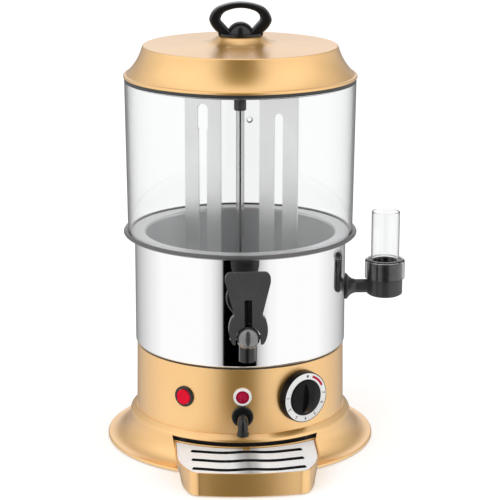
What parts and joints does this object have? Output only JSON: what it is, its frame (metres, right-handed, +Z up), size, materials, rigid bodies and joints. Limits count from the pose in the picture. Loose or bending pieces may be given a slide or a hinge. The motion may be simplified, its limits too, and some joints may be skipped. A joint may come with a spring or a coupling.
{
  "type": "hot chocolate dispenser",
  "caption": "Hot drink dispenser with a clear tank over a water-bath bowl, a turning paddle, a lever tap, a side water filler, a thermostat and a drip tray.",
  "frame": {"origin": "on the machine's vertical axis, in the plane that its rubber feet stand on", "axes": "+Z up along the column and the paddle's shaft, front with tap, switches and drip tray towards -Y, water filler towards +X"},
  "size_m": [0.3347, 0.3567, 0.4896],
  "materials": {
    "gold": "satin gold lacquer on spun aluminium",
    "mirror_steel": "mirror-polished stainless steel",
    "steel": "plain stainless or zinc-plated steel",
    "clear": "clear moulded plastic",
    "rubber": "matt moulded rubber",
    "black_plastic": "glossy moulded plastic",
    "satin_black": "satin moulded plastic",
    "red_plastic": "translucent red plastic",
    "white_plastic": "white moulded plastic",
    "grey_paint": "grey painted metal",
    "brass": "turned brass"
  },
  "bodies": {
    "base": {"rubber_feet": "rubber", "base_plate": "steel", "base_screws": "steel", "control_panel": "gold", "base_skirt": "gold", "cord_gland": "black_plastic", "joint_gasket": "rubber", "boiler_jacket": "mirror_steel", "bowl": "mirror_steel", "rim_gasket": "rubber", "heater_ring": "steel", "column_tube": "mirror_steel", "column_bush": "brass", "column_seal": "rubber", "column_nut": "mirror_steel", "column_locknut": "steel", "gear_motor": "grey_paint", "motor_bracket": "steel", "tap_shank": "black_plastic", "tap_nut": "black_plastic", "tap_gasket": "rubber", "tap_body": "black_plastic", "tap_dome": "black_plastic", "inlet_pipe": "black_plastic", "inlet_gasket": "rubber", "inlet_nut": "black_plastic", "inlet_cup": "black_plastic", "inlet_collar": "clear", "switch_bezel": "black_plastic", "lamp_bezel": "white_plastic", "lamp_lens": "red_plastic", "thermostat_body": "grey_paint", "drain_pipe": "black_plastic", "drain_collar": "black_plastic", "tray_rails": "steel"},
    "tank": {"tank_cylinder": "clear"},
    "lid": {"lid_shell": "gold", "lid_seal": "rubber", "lid_handle": "black_plastic", "handle_cap": "black_plastic", "handle_washer": "steel", "handle_screw": "steel"},
    "agitator": {"agitator_frame": "steel", "agitator_hub": "satin_black", "agitator_pin": "mirror_steel", "agitator_shaft": "mirror_steel", "drive_coupling": "steel"},
    "tap_handle": {"tap_lever": "satin_black", "tap_pivot_pin": "steel"},
    "tap_valve": {"tap_plunger": "satin_black"},
    "power_rocker": {"switch_rocker": "red_plastic"},
    "thermostat_dial": {"thermostat_knob": "black_plastic", "dial_ring": "white_plastic", "knob_grip": "black_plastic", "thermostat_spindle": "steel"},
    "drain_outlet": {"drain_spout": "black_plastic"},
    "drip_tray": {"drip_pan": "gold"},
    "drip_grate": {"drip_plate": "mirror_steel"},
    "filler_tube": {"inlet_tube": "clear"}
  },
  "joints": [
    {"name": "tank_lift", "type": "slide", "parent": "base", "child": "tank", "axis": [0, 0, 1], "range_m": [0, 0.2]},
    {"name": "lid_lift", "type": "slide", "parent": "tank", "child": "lid", "axis": [0, 0, 1], "range_m": [0, 0.15]},
    {"name": "agitator_turn", "type": "hinge", "parent": "base", "child": "agitator", "pos_m": [0, 0, 0.38], "axis": [0, 0, 1], "continuous": true},
    {"name": "tap_pull", "type": "hinge", "parent": "base", "child": "tap_handle", "pos_m": [0, -0.154, 0.158], "axis": [1, 0, 0], "range_deg": [0, 25], "stiffness_Nm_per_rad": 0.3, "springref_deg": -22.92},
    {"name": "tap_valve_lift", "type": "slide", "parent": "base", "child": "tap_valve", "axis": [0, 0, 1], "range_m": [0, 0.0038]},
    {"name": "power_switch", "type": "hinge", "parent": "base", "child": "power_rocker", "pos_m": [-0.0656, -0.09616, 0.075], "axis": [0.8261, -0.5635, 0], "range_deg": [-8, 8]},
    {"name": "thermostat_turn", "type": "hinge", "parent": "base", "child": "thermostat_dial", "pos_m": [0.06047, -0.09906, 0.075], "axis": [-0.521, 0.8536, 0], "range_deg": [0, 300]},
    {"name": "drain_swivel", "type": "hinge", "parent": "base", "child": "drain_outlet", "pos_m": [-0.00365, -0.11622, 0.058], "axis": [-0.0314, -0.9995, 0], "range_deg": [0, 180]},
    {"name": "tray_slide", "type": "slide", "parent": "base", "child": "drip_tray", "axis": [0, -1, 0], "range_m": [0, 0.12]},
    {"name": "grate_lift", "type": "slide", "parent": "drip_tray", "child": "drip_grate", "axis": [0, 0, 1], "range_m": [0, 0.015]},
    {"name": "filler_lift", "type": "slide", "parent": "base", "child": "filler_tube", "axis": [0, 0, 1], "range_m": [0, 0.05]}
  ],
  "couplings": [
    {"joint": "tap_valve_lift", "follows": "tap_pull", "m_per_rad": 0.0085}
  ]
}
